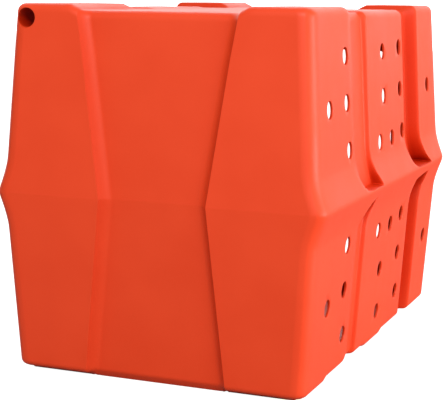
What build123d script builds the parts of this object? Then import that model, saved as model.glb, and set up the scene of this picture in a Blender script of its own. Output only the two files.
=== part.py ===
from build123d import *
from math import cos, radians, sin
import os

# One-piece rotationally moulded pet transport kennel with a wire door and a squeeze latch.
# Millimetres, +Z up.  The origin is the centre of the kennel's base.  The doorway faces -Y, the
# closed rear wall faces +Y.  The door is hinged on the +X side and stands open.

os.makedirs("parts", exist_ok=True)

# ------------------------------------------------------------------ kennel shell, driving sizes
height = 673.0  # base to the top of the roof blocks
top_width = 557.0  # between the side panels at the roof and at the base
top_length = 883.0  # between the end faces at the roof and at the base
mid_width = 600.0  # the sides widen with draft down to the parting line
mid_length = 916.0
belt_proud = 13.5  # how far the belt stands out of the side panels at the parting line
belt_reach = 60.0  # height over which the belt flares out, each way
wall = 4.5
corner_radius = 24.0  # upright corners
roof_radius = 14.0
base_radius = 11.0

block_rise = 11.0  # roof blocks above the roof channel
mid_block_drop = 8.0  # the middle pair of blocks is lower
channel_width = 296.0  # roof channel between the left and right blocks, at its floor
panel_lift = 8.0  # panel bottoms above the base
panel_step = 5.0  # small up-step in the bottom of the rear and middle panels
core_in = 28.0  # side panels stand this far out of the core
end_in = 15.0  # end panels stand this far out of the core

bar_above = 1.0  # the belt bar bridges each side groove, from this far above the parting line
bar_below = 18.0  # to this far below it
shallow_groove = 9.0  # depth of the rear groove on the straight wall
groove_sweep = 52.0  # the grooves sweep forward as they run into the belt bar
sweep_height = 85.0  # over this height from the parting line
rear_groove = {"upper": (204.0, 121.0), "lower": (172.0, 133.0)}  # rear and front edge, along Y
ramp_length = 38.0  # the rear panel runs down gently into the rear groove
front_groove = {"upper": (-152.0, -271.0), "lower": (-205.0, -287.0)}
rear_step_y = 320.0  # where the rear panel's bottom steps up
mid_step_y = -60.0

waist_half = 89.0  # half-width of the recessed rear panel at the parting line
waist_top_half = 139.0
waist_base_half = 124.0

vent_diameter = 31.5
vents = [  # places along Y and up, the same on both sides
    (259.0, 588.0), (257.0, 505.0), (250.0, 420.0), (361.0, 500.0),  # rear panel, upper half
    (9.0, 587.0), (-116.0, 591.0), (6.0, 501.0), (-118.0, 507.0),  # middle panel, upper half
    (41.0, 414.0), (-46.0, 415.0), (-128.0, 422.0), (-358.0, 502.0),
    (231.0, 77.0), (246.0, 164.0), (247.0, 247.0), (345.0, 151.0),  # rear panel, lower half
    (-8.0, 67.0), (-150.0, 80.0), (-3.0, 155.0), (-139.0, 165.0),  # middle panel, lower half
    (33.0, 239.0), (-56.0, 239.0), (-139.0, 248.0), (-370.0, 163.0),
]

port_diameter = 34.0  # cable and tie-down port in the upper rear corner
port_depth = 42.0
port_x = 253.0
port_z = 648.0

# ------------------------------------------------------------------ doorway
front_face = 441.0  # the flat door surround stands this far in front of the origin
surround_half_width = 250.0
surround_low = 22.0
surround_high = 636.0
surround_radius = 12.0
doorway_width = 390.0
doorway_low = 72.0
doorway_height = 498.0
doorway_radius = 40.0
doorway_return = 20.0  # the doorway's edge turns inward this far

# ------------------------------------------------------------------ door
gap = 0.05  # between pieces that are welded or clamped together
frame_wire = 8.0
grid_wire = 5.0
door_overlap = 11.0  # door frame's centre line outside the doorway's edge
door_standoff = 3.0  # between the surround and the back of the door
upright_pitch_aim = 27.5
cross_spaces = 6
door_open = 100.0  # degrees that the door stands open

# ------------------------------------------------------------------ hinge
hinge_rod = 8.0
running_clearance = 0.08  # radial, hinge rod in its knuckles and washer
knuckle_outer = 18.0
knuckle_height = 16.0
knuckle_space = 3.0  # between the door frame and each knuckle
plate_thickness = 3.0
hinge_plate_width = 42.0
hinge_plate_height = 40.0
hinge_screw_across = 22.0  # hinge axis to the screws
hinge_screw_spacing = 22.0
washer_outer = 16.0
washer_thickness = 2.0
collar_outer = 15.0
collar_height = 8.0
cap_outer = 13.0
cap_height = 8.0
cap_wall = 2.0

# ------------------------------------------------------------------ screws and inserts
screw_diameter = 5.0
screw_hole = 5.5
screw_head = 9.5
screw_head_height = 2.8
screw_length = 13.0
drive_across = 3.0
drive_depth = 1.6
insert_outer = 8.0
insert_length = 11.0
boss_diameter = 18.0
boss_length = 15.0

# ------------------------------------------------------------------ squeeze latch
latch_rod = 6.0
rod_clearance = 0.3  # radial, rods in their guides
latch_forward = 10.5  # rod axis in front of the door frame's centre
latch_travel = 12.0
latch_engage = 9.0  # rod tip past the keeper's shelf
keeper_space = 5.0  # between the door frame and the keeper's shelf
keeper_width = 56.0
keeper_height = 24.0
keeper_screw_spacing = 38.0
keeper_lip = 9.0  # shelf beyond the rod axis
keeper_clearance = 1.2  # radial, rod tip in the shelf's hole
guide_height = 12.0
housing_height = 150.0
housing_depth = 24.0
housing_wall = 2.5
housing_radius = 7.0
housing_screw_up = 124.0
housing_screw = 4.0
tab_width = 15.0
tab_height = 14.0
tab_slot_clearance = 1.0
tab_reach = 12.0  # finger tabs out of the housing
tab_spacing = 66.0  # between the two tabs at rest
spring_seat = 6.0  # web in the middle of the housing
spring_wire = 1.2
spring_outer = 11.0
spring_turns = 8

# ------------------------------------------------------------------ worked-out places
core_top = height - block_rise
mid = core_top / 2 + 2.0  # parting line
bar_top = mid + bar_above
bar_low = mid - bar_below

doorway_high = doorway_low + doorway_height
door_low = doorway_low - door_overlap  # centre lines of the frame's rails
door_high = doorway_high + door_overlap
door_mid = (door_low + door_high) / 2
door_width = doorway_width + 2 * door_overlap
upright_spaces = round(door_width / upright_pitch_aim)
upright_pitch = door_width / upright_spaces
door_corner = upright_pitch - grid_wire  # the corner bends end before the first upright
housing_screw_across = upright_pitch + grid_wire + housing_screw + 2 * rod_clearance  # outside two uprights
housing_width = housing_screw_across + 2 * housing_screw + 1

hinge_side = hinge_rod / 2 + gap + frame_wire / 2  # hinge axis to the frame's near upright
cross_in = frame_wire / 2 + gap + grid_wire / 2  # cross wires lie behind the frame
upright_in = cross_in - grid_wire - gap  # uprights lie in front of the cross wires
hinge_x = doorway_width / 2 + door_overlap + hinge_side
hinge_y = -front_face - door_standoff - cross_in - grid_wire / 2
turn = radians(door_open)
door_face = Plane((hinge_x, hinge_y, 0), x_dir=(-cos(turn), -sin(turn), 0), z_dir=(-sin(turn), cos(turn), 0))

latch_across = hinge_side + door_width - 1.5 * upright_pitch
latch_x = hinge_x - latch_across  # the latch with the door shut
latch_y = hinge_y - latch_forward
cover_back = upright_in - grid_wire / 2 - gap  # the latch cover starts in front of the uprights
cover_front = cover_back - housing_depth
knuckle_z = {"upper": door_high + frame_wire / 2 + knuckle_space + knuckle_height / 2,
             "lower": door_low - frame_wire / 2 - knuckle_space - knuckle_height / 2}
shelf_z = {"upper": door_high + frame_wire / 2 + keeper_space,
           "lower": door_low - frame_wire / 2 - keeper_space - plate_thickness}
ends = (("upper", 1), ("lower", -1))

hinge_screws = [(hinge_x + hinge_screw_across, level + side * hinge_screw_spacing / 2)
                for level in knuckle_z.values() for side in (-1, 1)]
keeper_z = {end: shelf_z[end] + plate_thickness / 2 + up * (keeper_height - plate_thickness) / 2
            for end, up in ends}
keeper_screws = [(latch_x + side * keeper_screw_spacing / 2, keeper_z[end] + up * 2)
                 for end, up in ends for side in (-1, 1)]
all_screws = hinge_screws + keeper_screws


def door_point(across, inward):
    """Plan position of a point on the open door, from the hinge axis and the frame's centre."""
    spot = door_face.from_local_coords((across, 0, inward))
    return spot.X, spot.Y


def door_section(across):
    """Plane square to the door's width: its X is height and its Y points into the kennel."""
    spot = door_face.from_local_coords((across, 0, 0))
    return Plane(spot, x_dir=(0, 0, 1), z_dir=door_face.x_dir)


# ------------------------------------------------------------------ kennel shell
def spread(z, at_mid, at_end):
    """Half-size at height z: widest at the parting line, narrowing evenly to the roof and base."""
    away = abs(z - mid) / (height - mid if z > mid else mid)
    return (at_mid + (at_end - at_mid) * away) / 2


def belt(z):
    """How far the belt stands out of the side panels at height z."""
    away = min(abs(z - mid) / belt_reach, 1.0)
    return belt_proud * (1 - away) ** 1.6


def rounded_levels(low, high):
    """Heights and draw-ins that round the upper and lower edges, with the belt's heights between."""
    turns = (0, 30, 60, 90)
    levels = [(low + base_radius * (1 - sin(radians(t))), base_radius * (1 - cos(radians(t))))
              for t in reversed(turns)]
    levels += [(mid + side * belt_reach * share, 0.0)
               for side, share in ((-1, 1), (-1, 0.66), (-1, 0.38), (-1, 0.15), (-1, 0.03),
                                   (1, 0), (1, 0.03), (1, 0.15), (1, 0.38), (1, 0.66), (1, 1))]
    levels += [(high - roof_radius * (1 - sin(radians(t))), roof_radius * (1 - cos(radians(t))))
               for t in turns]
    return levels


def lofted(low, high, side_in, ends_in, with_belt):
    """A solid through the outlines of every level."""
    with BuildPart() as solid:
        for z, draw in rounded_levels(low, high):
            flare = belt(z) if with_belt else 0.0
            with BuildSketch(Plane.XY.offset(z)):
                half_x = spread(z, mid_width, top_width) + flare - side_in - draw
                half_y = spread(z, mid_length, top_length) - ends_in - draw
                RectangleRounded(2 * half_x, 2 * half_y, corner_radius - draw / 2)
        loft(ruled=True)
    return solid.part


def groove_plan(z, rear, front, depth, ramp, inset, side):
    """Plan of a side groove at height z: a ramp at the rear, a flat floor, a square front step."""
    face = spread(z, mid_width, top_width)
    floor = face - depth - inset
    outside = face + belt_proud + 60
    shift = inset - groove_sweep * max(1 - abs(z - mid) / sweep_height, 0)
    points = [(floor, front - 2 * inset + shift), (outside, front - 2 * inset + shift),
              (outside, rear + ramp + shift), (face - inset, rear + ramp + shift), (floor, rear + shift)]
    return [(side * x, y) for x, y in points]


def kennel_form(inset):
    """The kennel's solid shape, drawn in by inset all over: a core with panels standing out of it."""
    core = lofted(inset, core_top - inset, core_in + inset, end_in + inset, False)
    panels = lofted(panel_lift + inset, height - inset, inset, inset, True)
    cut_high = height + 20
    with BuildPart() as form:
        add(panels)
        for side in (-1, 1):
            for half, heights in (("upper", (bar_top - inset, mid + sweep_height, cut_high)),
                                  ("lower", (-20, mid - sweep_height, bar_low + inset))):
                for edges, depth, ramp in ((rear_groove[half], shallow_groove, ramp_length),
                                           (front_groove[half], 2 * core_in, 0)):
                    for z in heights:
                        with BuildSketch(Plane.XY.offset(z)):
                            Polygon(*groove_plan(z, *edges, depth, ramp, inset, side), align=None)
                    loft(ruled=True, mode=Mode.SUBTRACT)
        # roof channel along the kennel, with sloping sides, and the grooves across the roof
        floor = core_top - inset
        slope = block_rise + 20
        with BuildSketch(Plane.XZ):
            half = channel_width / 2 + inset * 0.4
            Polygon((-half, floor), (half, floor), (half + slope, floor + slope),
                    (-half - slope, floor + slope), align=None)
        extrude(amount=mid_length, both=True, mode=Mode.SUBTRACT)
        for rear, front in (rear_groove["upper"], front_groove["upper"]):
            with BuildSketch(Plane.XY.offset(floor)):
                with Locations((0, (rear + front) / 2)):
                    Rectangle(2 * mid_width, rear - front + 2 * inset)
            extrude(amount=slope, mode=Mode.SUBTRACT)
        with BuildSketch(Plane.XY.offset(height - mid_block_drop - inset)):
            rear, front = rear_groove["upper"][1], front_groove["upper"][0]
            with Locations((0, (rear + front) / 2)):
                Rectangle(2 * mid_width, rear - front + 40)
        extrude(amount=slope, mode=Mode.SUBTRACT)
        # the front parts of the rear and middle panels' bottoms are a small step higher
        for rear, front in ((rear_step_y, 0), (mid_step_y, front_groove["lower"][0])):
            with BuildSketch(Plane.XY):
                with Locations((0, (rear + front) / 2)):
                    Rectangle(2 * mid_width, rear - front)
            extrude(amount=panel_lift + panel_step + inset, mode=Mode.SUBTRACT)
        # recessed rear panel, narrowest at the parting line
        with BuildSketch(Plane.XZ.offset(-mid_length)):
            Polygon((-waist_base_half - inset, -20), (waist_base_half + inset, -20),
                    (waist_half + inset, mid), (waist_top_half + inset, cut_high),
                    (-waist_top_half - inset, cut_high), (-waist_half - inset, mid), align=None)
        extrude(amount=mid_length - spread(mid, mid_length, top_length) + 2 * end_in + 40,
                mode=Mode.SUBTRACT)
        add(core)
        # flat door surround across the front
        with BuildSketch(Plane.XZ.offset(front_face - inset)):
            with Locations((0, (surround_low + surround_high) / 2)):
                RectangleRounded(2 * (surround_half_width + inset),
                                 surround_high - surround_low + 2 * inset, surround_radius)
        extrude(amount=mid_length / 2, mode=Mode.SUBTRACT)
    return form.part


outer_form = kennel_form(0.0)
inner_form = kennel_form(wall)


with BuildPart() as port_collar:  # tube moulded into the corner, trimmed to the kennel's shape
    with BuildSketch(Plane.XZ.offset(-mid_length / 2)):
        with Locations((port_x, port_z)):
            Circle(port_diameter / 2 + wall)
    extrude(amount=mid_length / 2 - spread(port_z, mid_length, top_length) + port_depth)
    add(outer_form, mode=Mode.INTERSECT)

with BuildPart() as kennel_shell:
    add(outer_form)
    add(inner_form, mode=Mode.SUBTRACT)
    add(port_collar.part)
    surround = Plane.XZ.offset(front_face)
    with BuildSketch(surround):  # the doorway's edge turns inward
        with Locations((0, (doorway_low + doorway_high) / 2)):
            RectangleRounded(doorway_width + 2 * wall, doorway_height + 2 * wall, doorway_radius + wall)
    extrude(amount=-doorway_return)
    with BuildSketch(surround):
        with Locations(*all_screws):
            Circle(boss_diameter / 2)
    extrude(amount=-boss_length)
    with BuildSketch(surround):
        with Locations((0, (doorway_low + doorway_high) / 2)):
            RectangleRounded(doorway_width, doorway_height, doorway_radius)
    extrude(amount=-3 * doorway_return, mode=Mode.SUBTRACT)
    with BuildSketch(surround):
        with Locations(*all_screws):
            Circle(insert_outer / 2)
    extrude(amount=-(insert_length + 1), mode=Mode.SUBTRACT)
    with BuildSketch(Plane.XZ.offset(-mid_length / 2)):
        with Locations((port_x, port_z)):
            Circle(port_diameter / 2)
    extrude(amount=mid_length / 2 - spread(port_z, mid_length, top_length) + port_depth + 10,
            mode=Mode.SUBTRACT)
    with BuildSketch(Plane.YZ):  # vent holes right through both sides
        with Locations(*vents):
            Circle(vent_diameter / 2)
    extrude(amount=mid_width, both=True, mode=Mode.SUBTRACT)
kennel_shell.part.label = "kennel_shell"
export_step(kennel_shell.part, "parts/kennel_shell.step")


# ------------------------------------------------------------------ hinge brackets and keepers
for end, up in ends:
    with BuildPart() as hinge_bracket:
        with BuildSketch(Plane.XZ.offset(front_face)):
            with Locations((hinge_x - knuckle_outer / 2 + hinge_plate_width / 2, knuckle_z[end])):
                RectangleRounded(hinge_plate_width, hinge_plate_height, 4)
        extrude(amount=plate_thickness)
        with BuildSketch(Plane.XY.offset(knuckle_z[end] - knuckle_height / 2)):
            with Locations((hinge_x, hinge_y)):
                Circle(knuckle_outer / 2)
            with Locations((hinge_x, (hinge_y - front_face) / 2)):
                Rectangle(knuckle_outer, -front_face - hinge_y)
        extrude(amount=knuckle_height)
        with Locations((hinge_x, hinge_y, knuckle_z[end])):
            Cylinder(hinge_rod / 2 + running_clearance, 2 * knuckle_height, mode=Mode.SUBTRACT)
        with BuildSketch(Plane.XZ.offset(front_face)):
            with Locations(*[s for s in hinge_screws if abs(s[1] - knuckle_z[end]) < hinge_screw_spacing]):
                Circle(screw_hole / 2)
        extrude(amount=plate_thickness, mode=Mode.SUBTRACT)
    hinge_bracket.part.label = f"{end}_hinge_bracket"
    export_step(hinge_bracket.part, f"parts/{end}_hinge_bracket.step")

    shelf_reach = -front_face - latch_y + keeper_lip
    with BuildPart() as keeper:  # angle with a hole for the rod's tip
        with BuildSketch(Plane.XY.offset(shelf_z[end])):
            with Locations((latch_x, -front_face - shelf_reach / 2)):
                Rectangle(keeper_width, shelf_reach)
        extrude(amount=plate_thickness)
        fillet(keeper.edges().filter_by(Axis.Z).group_by(Axis.Y)[0], keeper_lip)
        with BuildSketch(Plane.XZ.offset(front_face)):
            with Locations((latch_x, keeper_z[end])):
                Rectangle(keeper_width, keeper_height)
        extrude(amount=plate_thickness)
        with Locations((latch_x, latch_y, shelf_z[end])):
            Cylinder(latch_rod / 2 + keeper_clearance, 4 * plate_thickness, mode=Mode.SUBTRACT)
        with BuildSketch(Plane.XZ.offset(front_face)):
            with Locations(*[spot for spot in keeper_screws if abs(spot[1] - shelf_z[end]) < keeper_height]):
                Circle(screw_hole / 2)
        extrude(amount=plate_thickness, mode=Mode.SUBTRACT)
    keeper.part.label = f"{end}_keeper"
    export_step(keeper.part, f"parts/{end}_keeper.step")

for label, spots in (("hinge_screws", hinge_screws), ("keeper_screws", keeper_screws)):
    with BuildPart() as screws:
        with BuildSketch(Plane.XZ.offset(front_face + plate_thickness)):
            with Locations(*spots):
                Circle(screw_head / 2)
        extrude(amount=screw_head_height)
        fillet(screws.faces().sort_by(Axis.Y)[0:len(spots)].edges(), screw_head_height / 3)
        with BuildSketch(Plane.XZ.offset(front_face + plate_thickness)):
            with Locations(*spots):
                Circle(screw_diameter / 2)
        extrude(amount=-screw_length)
        with BuildSketch(Plane.XZ.offset(front_face + plate_thickness + screw_head_height)):
            with Locations(*spots):
                RegularPolygon(drive_across / 2, 6, major_radius=False)
        extrude(amount=-drive_depth, mode=Mode.SUBTRACT)
    screws.part.label = label
    export_step(screws.part, f"parts/{label}.step")

with BuildPart() as threaded_inserts:
    with BuildSketch(Plane.XZ.offset(front_face)):
        with Locations(*all_screws):
            Circle(insert_outer / 2)
            Circle(screw_diameter / 2, mode=Mode.SUBTRACT)
    extrude(amount=-insert_length)
threaded_inserts.part.label = "threaded_inserts"
export_step(threaded_inserts.part, "parts/threaded_inserts.step")

with BuildPart() as hinge_washer:
    with BuildSketch(Plane.XY.offset(knuckle_z["lower"] + knuckle_height / 2)):
        with Locations((hinge_x, hinge_y)):
            Circle(washer_outer / 2)
            Circle(hinge_rod / 2 + running_clearance, mode=Mode.SUBTRACT)
    extrude(amount=washer_thickness)
hinge_washer.part.label = "hinge_washer"
export_step(hinge_washer.part, "parts/hinge_washer.step")


# ------------------------------------------------------------------ door
free_side = hinge_side + door_width
with BuildPart() as door_frame:
    with BuildLine(door_face) as loop:
        FilletPolyline((hinge_side, door_low), (hinge_side, door_high), (free_side, door_high),
                       (free_side, door_low), radius=door_corner, close=True)
    with BuildSketch(Plane(loop.line @ 0, z_dir=loop.line % 0)):
        Circle(frame_wire / 2)
    sweep()
door_frame.part.label = "door_frame"
export_step(door_frame.part, "parts/door_frame.step")

with BuildPart() as door_uprights:
    clear = frame_wire / 2 + gap
    with BuildSketch(Plane.XY.offset(door_low + clear)):
        with Locations(*[door_point(hinge_side + step * upright_pitch, upright_in)
                         for step in range(1, upright_spaces)]):
            Circle(grid_wire / 2)
    extrude(amount=door_high - door_low - 2 * clear)
door_uprights.part.label = "door_uprights"
export_step(door_uprights.part, "parts/door_uprights.step")

with BuildPart() as door_cross_wires:
    cross_pitch = (door_high - door_low) / cross_spaces
    with BuildSketch(door_section(hinge_side - frame_wire / 4)):
        with Locations(*[(door_low + step * cross_pitch, cross_in) for step in range(1, cross_spaces)]):
            Circle(grid_wire / 2)
    extrude(amount=door_width + frame_wire / 2)
door_cross_wires.part.label = "door_cross_wires"
export_step(door_cross_wires.part, "parts/door_cross_wires.step")

rod_low = knuckle_z["lower"] - knuckle_height / 2 - 1 - cap_height + cap_wall
rod_high = knuckle_z["upper"] + knuckle_height / 2 + 1 + cap_height - cap_wall
with BuildPart() as hinge_pin_rod:
    with BuildSketch(Plane.XY.offset(rod_low)):
        with Locations((hinge_x, hinge_y)):
            Circle(hinge_rod / 2)
    extrude(amount=rod_high - rod_low)
hinge_pin_rod.part.label = "hinge_pin_rod"
export_step(hinge_pin_rod.part, "parts/hinge_pin_rod.step")

with BuildPart() as hinge_collar:  # carries the door on the washer
    with BuildSketch(Plane.XY.offset(knuckle_z["lower"] + knuckle_height / 2 + washer_thickness + gap)):
        with Locations((hinge_x, hinge_y)):
            Circle(collar_outer / 2)
            Circle(hinge_rod / 2, mode=Mode.SUBTRACT)
    extrude(amount=collar_height)
hinge_collar.part.label = "hinge_collar"
export_step(hinge_collar.part, "parts/hinge_collar.step")

with BuildPart() as rod_caps:  # pressed on the rod's ends
    for low in (rod_high + cap_wall - cap_height, rod_low - cap_wall):
        with BuildSketch(Plane.XY.offset(low)):
            with Locations((hinge_x, hinge_y)):
                Circle(cap_outer / 2)
        extrude(amount=cap_height)
    with Locations((hinge_x, hinge_y, (rod_low + rod_high) / 2)):
        Cylinder(hinge_rod / 2, rod_high - rod_low, mode=Mode.SUBTRACT)
rod_caps.part.label = "rod_caps"
export_step(rod_caps.part, "parts/rod_caps.step")

with BuildPart() as rod_guides:  # tubes welded on the front of the top and bottom rails
    for rail in (door_low, door_high):
        with BuildSketch(Plane.XY.offset(rail - guide_height / 2)):
            with Locations(door_point(latch_across, -latch_forward)):
                Circle(latch_forward - frame_wire / 2 - gap)
                Circle(latch_rod / 2 + rod_clearance, mode=Mode.SUBTRACT)
        extrude(amount=guide_height)
rod_guides.part.label = "rod_guides"
export_step(rod_guides.part, "parts/rod_guides.step")


# ------------------------------------------------------------------ squeeze latch
housing_corners = [(latch_across + side * housing_screw_across / 2, door_mid + up * housing_screw_up / 2)
                   for side in (-1, 1) for up in (-1, 1)]
with BuildPart() as latch_cover:
    with BuildSketch(door_face.offset(cover_back)):
        with Locations((latch_across, door_mid)):
            RectangleRounded(housing_width, housing_height, housing_radius)
    extrude(amount=-housing_depth)
    with BuildSketch(door_face.offset(cover_back)):
        with Locations((latch_across, door_mid)):
            RectangleRounded(housing_width - 2 * housing_wall, housing_height - 2 * housing_wall,
                             housing_radius - housing_wall)
    extrude(amount=-(housing_depth - housing_wall), mode=Mode.SUBTRACT)
    with BuildSketch(door_face.offset(cover_back)):
        with Locations((latch_across, door_mid)):
            Rectangle(housing_width, spring_seat)
        with Locations(*housing_corners):
            Circle(housing_screw)
        with Locations((latch_across, door_mid)):
            RectangleRounded(housing_width, housing_height, housing_radius, mode=Mode.INTERSECT)
    extrude(amount=-housing_depth + gap)
    slot_low = tab_spacing / 2 - latch_travel - tab_slot_clearance
    slot_high = tab_spacing / 2 + tab_height + tab_slot_clearance
    with BuildSketch(door_face.offset(cover_front - 1)):
        with Locations(*[(latch_across, door_mid + up * (slot_low + slot_high) / 2) for up in (-1, 1)]):
            Rectangle(tab_width + 2 * tab_slot_clearance, slot_high - slot_low)
    extrude(amount=housing_wall + 2, mode=Mode.SUBTRACT)
    with BuildSketch(Plane.XY.offset(door_mid - housing_height)):
        with Locations(door_point(latch_across, -latch_forward)):
            Circle(latch_rod / 2 + rod_clearance)
    extrude(amount=housing_height - spring_seat, mode=Mode.SUBTRACT)
    with BuildSketch(Plane.XY.offset(door_mid + spring_seat)):
        with Locations(door_point(latch_across, -latch_forward)):
            Circle(latch_rod / 2 + rod_clearance)
    extrude(amount=housing_height, mode=Mode.SUBTRACT)
    with BuildSketch(door_face.offset(cover_back)):
        with Locations(*housing_corners):
            Circle(housing_screw / 2)
    extrude(amount=-(housing_depth - 2 * housing_wall), mode=Mode.SUBTRACT)
latch_cover.part.label = "latch_cover"
export_step(latch_cover.part, "parts/latch_cover.step")

plate_in = cross_in + grid_wire / 2 + gap  # behind the cross wires
with BuildPart() as latch_back_plate:
    with BuildSketch(door_face.offset(plate_in)):
        with Locations((latch_across, door_mid)):
            RectangleRounded(housing_width, housing_height, housing_radius)
        with Locations(*housing_corners):
            Circle(housing_screw / 2 + rod_clearance, mode=Mode.SUBTRACT)
    extrude(amount=housing_wall)
latch_back_plate.part.label = "latch_back_plate"
export_step(latch_back_plate.part, "parts/latch_back_plate.step")

with BuildPart() as latch_screws:
    with BuildSketch(door_face.offset(plate_in + housing_wall)):
        with Locations(*housing_corners):
            Circle(housing_screw)
    extrude(amount=housing_wall)
    with BuildSketch(door_face.offset(plate_in + housing_wall)):
        with Locations(*housing_corners):
            Circle(housing_screw / 2)
    extrude(amount=-(plate_in + housing_wall - cover_back + housing_depth / 2))
latch_screws.part.label = "latch_screws"
export_step(latch_screws.part, "parts/latch_screws.step")

rod_spot = door_point(latch_across, -latch_forward)
for end, up in ends:
    rail, shelf = (door_high, shelf_z[end] + plate_thickness) if up > 0 else (door_low, shelf_z[end])
    tip = shelf + up * (latch_engage - plate_thickness)
    root = door_mid + up * (tab_spacing / 2)
    with BuildPart() as rod:
        with BuildSketch(Plane.XY.offset(min(tip, root))):
            with Locations(rod_spot):
                Circle(latch_rod / 2)
        extrude(amount=abs(tip - root))
        fillet(rod.faces().sort_by(Axis.Z)[-1 if up > 0 else 0].edges(), latch_rod / 2 - 0.5)
    rod.part.label = f"{end}_latch_rod"
    export_step(rod.part, f"parts/{end}_latch_rod.step")

    tab_back = -latch_forward + latch_rod / 2 + 1.5
    with BuildPart() as finger_tab:
        with BuildSketch(door_face.offset(tab_back)):
            with Locations((latch_across, root + up * tab_height / 2)):
                RectangleRounded(tab_width, tab_height, 2.5)
        extrude(amount=-(tab_back - cover_front + tab_reach))
        with Locations((*rod_spot, root + up * tab_height / 2)):
            Cylinder(latch_rod / 2, 2 * tab_height, mode=Mode.SUBTRACT)
    finger_tab.part.label = f"{end}_finger_tab"
    export_step(finger_tab.part, f"parts/{end}_finger_tab.step")

    seat = door_mid + up * (spring_seat / 2 + spring_wire / 2 + gap)
    top = root - up * (spring_wire / 2 + gap)
    length = abs(top - seat)
    with BuildPart() as spring:
        coil_radius = (spring_outer - spring_wire) / 2
        with BuildLine(Plane((*rod_spot, min(seat, top)))) as coil:
            Helix(length / spring_turns, length, coil_radius)
        with BuildSketch(Plane(coil.line @ 0, z_dir=coil.line % 0)):
            Circle(spring_wire / 2)
        sweep()
    spring.part.label = f"{end}_latch_spring"
    export_step(spring.part, f"parts/{end}_latch_spring.step")
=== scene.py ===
# %% [markdown]
# A one-piece moulded pet transport kennel.
# The CAD model holds every part's true size and place, so it is loaded first and never moved.
# Everything after that either gives a CAD part a better material or stands in for one that needs
# softer, rounder surfaces than CAD gives. Lengths are metres; mm turns millimetres into them.

# %% Load the CAD frame
import math

import bmesh
import bpy
import numpy as np
from mathutils import Matrix, Vector


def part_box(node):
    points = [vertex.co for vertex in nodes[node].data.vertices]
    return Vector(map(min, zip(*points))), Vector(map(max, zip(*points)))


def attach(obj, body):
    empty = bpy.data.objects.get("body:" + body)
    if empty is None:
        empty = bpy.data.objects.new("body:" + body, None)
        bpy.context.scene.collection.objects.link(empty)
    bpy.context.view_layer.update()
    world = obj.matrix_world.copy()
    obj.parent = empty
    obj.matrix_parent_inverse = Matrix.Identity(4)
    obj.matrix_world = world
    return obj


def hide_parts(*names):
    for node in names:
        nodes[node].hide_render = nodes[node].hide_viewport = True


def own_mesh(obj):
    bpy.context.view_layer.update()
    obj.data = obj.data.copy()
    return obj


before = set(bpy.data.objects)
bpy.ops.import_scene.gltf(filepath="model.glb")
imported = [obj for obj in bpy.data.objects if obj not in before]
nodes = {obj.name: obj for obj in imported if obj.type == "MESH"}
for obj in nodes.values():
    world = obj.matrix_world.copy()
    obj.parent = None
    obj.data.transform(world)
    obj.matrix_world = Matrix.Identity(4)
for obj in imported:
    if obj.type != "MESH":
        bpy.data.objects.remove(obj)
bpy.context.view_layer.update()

mm = 0.001

# %% [markdown]
# Two helpers do all the mesh building. The first lays quads over a grid of points, the second
# turns arrays of points and faces into an object. Both work on whole arrays, so a surface is
# always a formula first and a mesh second.

# %% Mesh helpers
def grid_quads(rows, columns, start=0, close_columns=False):
    """Quad (i, j) joins points (i, j), (i, j+1), (i+1, j+1), (i+1, j) of a rows by columns grid."""
    index = np.arange(rows * columns).reshape(rows, columns) + start
    if close_columns:
        index = np.concatenate([index, index[:, :1]], axis=1)
    corners = index[:-1, :-1], index[:-1, 1:], index[1:, 1:], index[1:, :-1]
    return np.stack(corners, -1).reshape(-1, 4)


def make_piece(name, points, faces, sharp_angle=40):
    """A mesh object from points and faces, smooth except where faces meet at more than the angle."""
    mesh = bpy.data.meshes.new(name)
    points = np.asarray(points, float).reshape(-1, 3)
    mesh.from_pydata(points.tolist(), [], [list(map(int, face)) for face in faces])
    mesh.update()
    mesh.polygons.foreach_set("use_smooth", np.ones(len(mesh.polygons), bool))
    mesh.set_sharp_from_angle(angle=math.radians(sharp_angle))
    piece = bpy.data.objects.new(name, mesh)
    bpy.context.scene.collection.objects.link(piece)
    return piece


def merge_doubles(piece, distance=0.02 * mm, outward=False):
    """Welds points closer than the distance, and can turn all faces outwards."""
    work = bmesh.new()
    work.from_mesh(piece.data)
    bmesh.ops.remove_doubles(work, verts=work.verts, dist=distance)
    if outward:
        bmesh.ops.recalc_face_normals(work, faces=work.faces)
    work.to_mesh(piece.data)
    work.free()


def smooth_step(value, centre, width):
    """0 before the centre and 1 after it, turning over the width along 3t^2 - 2t^3."""
    t = np.clip((value - centre) / width + 0.5, 0, 1)
    return t * t * (3 - 2 * t)


# %% [markdown]
# The shell is one hollow moulding, spun in an oven from powder, so every edge is soft and every
# wall is the same thickness. It could be the CAD solid with bevels, but bevels fail where the
# belt, the grooves and the waisted rear panel run into each other. A cube of grid lines pushed
# onto a formula never fails: each point starts on a rounded box and is then moved by how deep the
# grooves and recesses are there. The lines follow the grooves' edges, so the steps stay crisp.

# %% The shell's driving sizes
shell_low, shell_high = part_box("kennel_shell")
HEIGHT = shell_high.z
BLOCK_RISE = 11 * mm
MID = (HEIGHT - BLOCK_RISE) / 2 + 2 * mm
END_X, END_Y = 278.5 * mm, 441.5 * mm
MID_X, MID_Y = 300 * mm, 458 * mm
BELT_PROUD, BELT_REACH = 13.5 * mm, 60 * mm
WALL = 4.5 * mm
CORNER, ROOF_ROUND, BASE_ROUND = 24 * mm, 14 * mm, 11 * mm
PANEL_LIFT, PANEL_STEP = 8 * mm, 5 * mm
CORE_IN, END_IN = 28 * mm, 15 * mm
BAR = 36 * mm
SHALLOW = 9 * mm
GROOVE_SWEEP, SWEEP_HEIGHT = 52 * mm, 85 * mm
RAMP_LENGTH = 62 * mm
WAIST, WAIST_AT_ROOF, WAIST_AT_BASE = 89 * mm, 139 * mm, 124 * mm
SHOULDER = 21 * mm
BLOCKS_FROM = 156 * mm
FRONT_FACE = 441 * mm
SURROUND = (250 * mm, 22 * mm, 636 * mm)
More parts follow.
